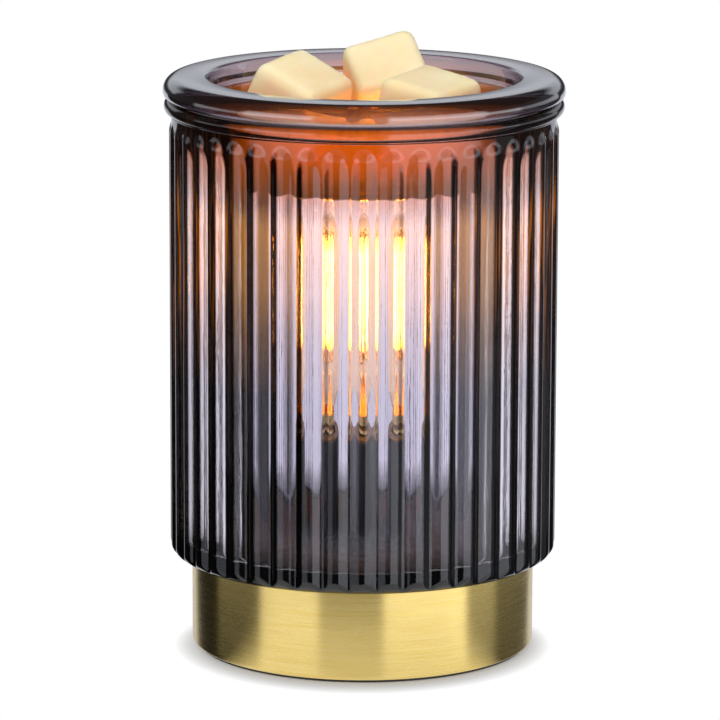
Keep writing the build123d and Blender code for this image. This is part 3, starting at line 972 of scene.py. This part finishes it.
def lamp_glass_material(name, strength, *painted_light):
    """Thin drawn glass with a painted glow of the filament's light, by (share of the lamp's height, colour)
    stops.
    """
    material, tree, shader = principled(
        name,
        Base_Color=(1, 0.93, 0.8, 1),
        Transmission_Weight=1.0,
        IOR=glass_ior,
        Emission_Strength=strength,
    )
    ripples = use_group(tree, mould_ripple, Grain=drawn_grain)["Height"]
    bumped(tree, shader, ripples, 0.05, cast_relief)
    unevenness = spread(tree, ripples, noise_low, noise_high, 0.0, drawn_roughness)
    tree.links.new(unevenness, shader.inputs["Roughness"])
    rise = spread(tree, object_height(tree), lamp_low.z, lamp_high.z)
    glow = colour_ramp(tree, rise, *painted_light)
    tree.links.new(glow, shader.inputs["Emission Color"])
    clear_for_shadows(tree, shader, (1, 0.95, 0.85, 1))
    return material


def make_lamp_glass():
    """Tubular lamp glass: neck, shoulder, straight tube and dome, with an even wall."""
    cap_top = cap_high.z
    side = lamp_high.x
    shoulder = cap_top + lamp_shoulder_height

    def wall(inset):
        return rounded(
            [
                (lamp_neck_radius - inset, lamp_low.z, 0),
                (lamp_neck_radius - inset, cap_top, lamp_neck_round + inset),
                (side - inset, shoulder, lamp_shoulder_round - inset),
                (side - inset, lamp_high.z - inset, lamp_dome_round - inset),
                (0, lamp_high.z - inset, 0),
            ],
            segments=10,
        )

    return spun("lamp_glass", wall(0) + wall(lamp_glass)[::-1], lamp_steps)


def make_lamp_cap():
    """Brass cap with a rolled thread and a flared skirt."""
    inner = cap_radius - cap_sheet
    skirt_low = cap_high.z - cap_skirt_length
    thread_top = skirt_low - cap_skirt_flare
    skirt = cap_radius + cap_skirt_flare
    outline = rows(cap_radius, cap_low.z, thread_top, lamp_thread_pitch)
    outline += [Vector((skirt, skirt_low)), Vector((skirt, cap_high.z))]
    outline += [Vector((skirt - cap_sheet, cap_high.z)), Vector((skirt - cap_sheet, skirt_low))]
    outline += rows(inner, cap_low.z, thread_top, lamp_thread_pitch)[::-1]
    cap = spun("lamp_cap", outline, cap_steps)
    threaded(cap, 0, cap_low.z, thread_top, lamp_thread_pitch, lamp_thread_depth)
    bpy.ops.object.shade_smooth_by_angle(angle=thread_crease)
    return cap


def make_screw_shell():
    """Threaded brass shell of the lamp-holder, with a flange at its foot."""
    outer = shell_bore_radius + shell_sheet
    flange_top = shell_low.z + shell_sheet
    outline = [Vector((shell_bore_radius, shell_low.z)), Vector((shell_high.x, shell_low.z))]
    outline += [Vector((shell_high.x, flange_top))]
    outline += rows(outer, flange_top, shell_high.z, lamp_thread_pitch)
    outline += rows(shell_bore_radius, flange_top, shell_high.z, lamp_thread_pitch)[::-1]
    shell = spun("screw_shell", outline, cap_steps)
    threaded(shell, 0, flange_top + shell_sheet, shell_high.z, lamp_thread_pitch, lamp_thread_depth)
    bpy.ops.object.shade_smooth_by_angle(angle=thread_crease)
    return shell


def make_nipple():
    """Steel tube with a fine thread over its whole length."""
    outline = rows(nipple_high.x, nipple_low.z, nipple_high.z, nipple_pitch)
    outline += [Vector((nipple_bore_radius, nipple_high.z)), Vector((nipple_bore_radius, nipple_low.z))]
    nipple = spun("threaded_tube", outline, nipple_steps)
    thread_root = nipple_high.x - nipple_thread_depth
    threaded(nipple, thread_root, nipple_low.z, nipple_high.z, nipple_pitch, nipple_thread_depth)
    bpy.ops.object.shade_smooth_by_angle(angle=thread_crease)
    return nipple


def glow_material():
    """Filament at full heat: yellow-white along the strands, deeper at the ends."""
    material, tree, shader = principled(
        "glowing filament",
        Base_Color=(0.2, 0.1, 0.05, 1),
        Emission_Strength=120.0,
        Roughness=0.5,
    )
    rise = spread(tree, object_height(tree), filament_low.z, filament_high.z)
    hot = (1.0, 0.5, 0.09)
    cooler = (0.7, 0.22, 0.01)
    heat = colour_ramp(
        tree,
        rise,
        (0.10, dark),
        (0.14, cooler),
        (0.18, hot),
        (0.84, hot),
        (0.88, cooler),
        (0.94, dark),
    )
    tree.links.new(heat, shader.inputs["Emission Color"])
    return material


# Colours of the painted glow in the lamp glass and in its lit stem
amber = (1.0, 0.42, 0.08)
dim_amber = (0.4, 0.17, 0.03)
deep_orange = (1.0, 0.22, 0.0)
envelope_glass = lamp_glass_material(
    "lamp glass",
    0.07,
    (0.0, dim_amber),
    (0.3, amber),
    (0.9, amber),
    (1.0, dim_amber),
)
stem_glass = lamp_glass_material(
    "lit stem glass",
    0.7,
    (0.0, deep_orange),
    (0.12, deep_orange),
    (0.2, dark),
)
brass = turned_metal("pressed brass", (0.72, 0.50, 0.19), 0.28)
steel = turned_metal("plated steel", (0.56, 0.56, 0.55), 0.34)
finished(make_lamp_glass(), "bulb", "lamp_glass", envelope_glass, "bulb_envelope")
finished(make_lamp_cap(), "bulb", "brass", brass, "bulb_cap")
finished(make_screw_shell(), "base", "brass", brass, "socket_screw_shell")
finished(make_nipple(), "base", "plated_steel", steel, "nipple_tube")

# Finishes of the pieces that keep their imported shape
finishes = {
    "brass": brass,
    "plated_steel": steel,
    "black_insulator": plain_material("black glass insulator", (0.02, 0.02, 0.022), 0.2),
    "black_holder": plain_material("black holder", (0.012, 0.012, 0.013), 0.4),
    "white_ceramic": plain_material("glazed ceramic", (0.8, 0.79, 0.75), 0.25),
    "black_rubber": plain_material("soft rubber", (0.02, 0.02, 0.02), 0.75, grain=400.0, relief=0.3),
    "black_plate": plain_material("powder coat", (0.02, 0.02, 0.02), 0.6, grain=500.0, relief=0.4),
    "black_plastic": plain_material("black nylon", (0.02, 0.02, 0.021), 0.45, relief=0.15),
    "white_plastic": plain_material("natural nylon", (0.75, 0.74, 0.7), 0.45),
    "brown_wire": plain_material("brown insulation", (0.12, 0.05, 0.02), 0.5),
    "blue_wire": plain_material("blue insulation", (0.02, 0.08, 0.3), 0.5),
    "lamp_wire": plain_material("lamp wire", (0.5, 0.48, 0.45), 0.35, metallic=1.0),
    "lamp_glass": stem_glass,
    "filament": glow_material(),
}
for part in frame["record"]["subparts"]:
    if part["material_slot"] in finishes:
        nodes[part["node"]].data.materials.clear()
        nodes[part["node"]].data.materials.append(finishes[part["material_slot"]])


# Floor, light and camera

def make_floor():
    """White paper: it keeps the shadow close to the drum and is plain white further out.

    Seen through the glass it carries a painted shadow, dark near the object, and the drum mirrors only the
    part in front of it.
    """
    deselect()
    bpy.ops.mesh.primitive_circle_add(
        vertices=floor_steps,
        radius=floor_radius,
        fill_type="NGON",
        location=(0, 0, 0),
    )
    floor = bpy.context.object
    floor.name = "paper_floor"
    material, tree, shader = principled("white paper", Roughness=0.9)
    place = object_place(tree)
    fibre = noise(tree, place, paper_grain)
    colour = colour_ramp(tree, fibre, (noise_low, grey(0.90)), (noise_high, grey(0.94)))
    tree.links.new(colour, shader.inputs["Base Color"])
    from_shadow = add_node(tree, "ShaderNodeVectorMath", place, shadow_middle)
    from_shadow.operation = "DISTANCE"
    light_path = add_node(tree, "ShaderNodeLightPath").outputs
    clear_of_shadow = spread(tree, from_shadow.outputs["Value"], *shadow_range)
    parts = add_node(tree, "ShaderNodeSeparateXYZ", place).outputs
    # Painted shadow: seen through glass, the floor is black near the object and white further back
    beyond_painted_shadow = spread(tree, parts["Y"], *painted_shadow_depth)
    seen = math_node(tree, "MULTIPLY", clear_of_shadow, light_path["Is Camera Ray"])
    level = math_node(tree, "MULTIPLY_ADD", beyond_painted_shadow, light_path["Is Transmission Ray"], seen)
    white = add_node(tree, "ShaderNodeEmission", Color=(1, 1, 1, 1), Strength=level)
    share = math_node(tree, "ADD", seen, light_path["Is Transmission Ray"])
    paper = add_node(tree, "ShaderNodeMixShader", share, shader.outputs[0], white.outputs[0])
    clear = add_node(tree, "ShaderNodeBsdfTransparent")
    shine = add_node(tree, "ShaderNodeEmission", Color=(1, 1, 1, 1), Strength=paper_shine)
    from_axis = add_node(tree, "ShaderNodeVectorMath", place)
    from_axis.operation = "LENGTH"
    beyond = spread(tree, from_axis.outputs["Value"], paper_reach - paper_fade, paper_reach)
    aside = spread(tree, math_node(tree, "ABSOLUTE", bearing_of(tree, parts)), *paper_sector)
    outside = math_node(tree, "MAXIMUM", beyond, aside)
    front = add_node(tree, "ShaderNodeMixShader", outside, shine.outputs[0], clear.outputs[0])
    mirrored = light_path["Is Glossy Ray"]
    mix = add_node(tree, "ShaderNodeMixShader", mirrored, paper.outputs[0], front.outputs[0])
    tree.links.new(mix.outputs[0], tree.nodes["Material Output"].inputs["Surface"])
    floor.data.materials.append(material)


def strip_levels(tree, turn, strips):
    """Brightness round the studio: each strip reaches from its bearing, in degrees, to the next one."""
    stops = [(0.0, strips[0][1])]
    for (_, last), (bearing, level) in zip(strips, strips[1:]):
        stops.append(((bearing - strip_edge) / 360 + 0.5, last))
        stops.append(((bearing + strip_edge) / 360 + 0.5, level))
    return colour_ramp(tree, turn, *((place, grey(level)) for place, level in stops))


def make_world():
    """Studio round the object: strips of light for what mirrors, white for the eye and through glass."""
    world = bpy.data.worlds.new("studio")
    bpy.context.scene.world = world
    world.use_nodes = True
    tree = world.node_tree
    place = add_node(tree, "ShaderNodeTexCoord").outputs["Generated"]
    parts = add_node(tree, "ShaderNodeSeparateXYZ", place).outputs
    turn = math_node(tree, "MULTIPLY_ADD", bearing_of(tree, parts), 0.5 / pi, 0.5)
    room = strip_levels(tree, turn, low_strips)
    for strips, rise in ((level_strips, level_rise), (high_strips, high_rise)):
        share = spread(tree, parts["Z"], *rise)
        band = strip_levels(tree, turn, strips)
        room = add_node(tree, "ShaderNodeMixRGB", share, room, band).outputs["Color"]
    ceiling = spread(tree, parts["Z"], *ceiling_rise)
    room = add_node(tree, "ShaderNodeMixRGB", ceiling, room, ceiling_colour).outputs["Color"]
    light_path = add_node(tree, "ShaderNodeLightPath").outputs
    studio = add_node(tree, "ShaderNodeBackground", Color=multiplied(tree, room, daylight), Strength=1.0)
    white = add_node(tree, "ShaderNodeBackground", Color=(1, 1, 1, 1), Strength=1.0)
    behind = spread(tree, parts["Y"], *backdrop_range)
    through = math_node(tree, "MULTIPLY", behind, light_path["Is Transmission Ray"])
    plain = math_node(tree, "MAXIMUM", light_path["Is Camera Ray"], through)
    mix = add_node(tree, "ShaderNodeMixShader", plain, studio.outputs[0], white.outputs[0])
    tree.links.new(mix.outputs[0], tree.nodes["World Output"].inputs["Surface"])


def add_light(name, kind, place, power, colour):
    """Lamp of a kind at a place."""
    data = bpy.data.lights.new(name, kind)
    data.energy = power
    data.color = colour
    light = bpy.data.objects.new(name, data)
    light.location = place
    bpy.context.scene.collection.objects.link(light)
    return light


def softbox(name, place, side, power):
    """Square light that faces the object and that nothing mirrors."""
    light = add_light(name, "AREA", place, power, softbox_colour)
    light.data.shape = "RECTANGLE"
    light.data.size = side
    light.data.size_y = side
    light.rotation_euler = (Vector(softbox_aim) - Vector(place)).to_track_quat("-Z", "Y").to_euler()
    light.visible_glossy = False


make_floor()
make_world()
for name, (place, side, power) in softboxes.items():
    softbox(name, place, side, power)
filament_middle = (filament_low.z + filament_high.z) / 2
glow = add_light("lamp glow", "POINT", (0, 0, filament_middle), glow_power, glow_colour)
glow.data.shadow_soft_size = glow_radius
glow.visible_camera = False
glow.visible_glossy = False
glow.visible_transmission = False

camera_data = bpy.data.cameras.new("camera")
camera_data.lens = camera_lens
camera_data.sensor_width = camera_sensor
camera = bpy.data.objects.new("camera", camera_data)
camera.location = camera_place
look = (camera_aim - camera_place).to_track_quat("-Z", "Y").to_matrix()
camera.rotation_euler = (look @ Matrix.Rotation(camera_roll, 3, "Z")).to_euler()
bpy.context.scene.collection.objects.link(camera)
bpy.context.scene.camera = camera

bpy.context.scene.view_settings.view_transform = "Standard"
cycles = bpy.context.scene.cycles
cycles.max_bounces = glass_bounces
cycles.transmission_bounces = glass_bounces
cycles.glossy_bounces = mirror_bounces
cycles.transparent_max_bounces = glass_bounces
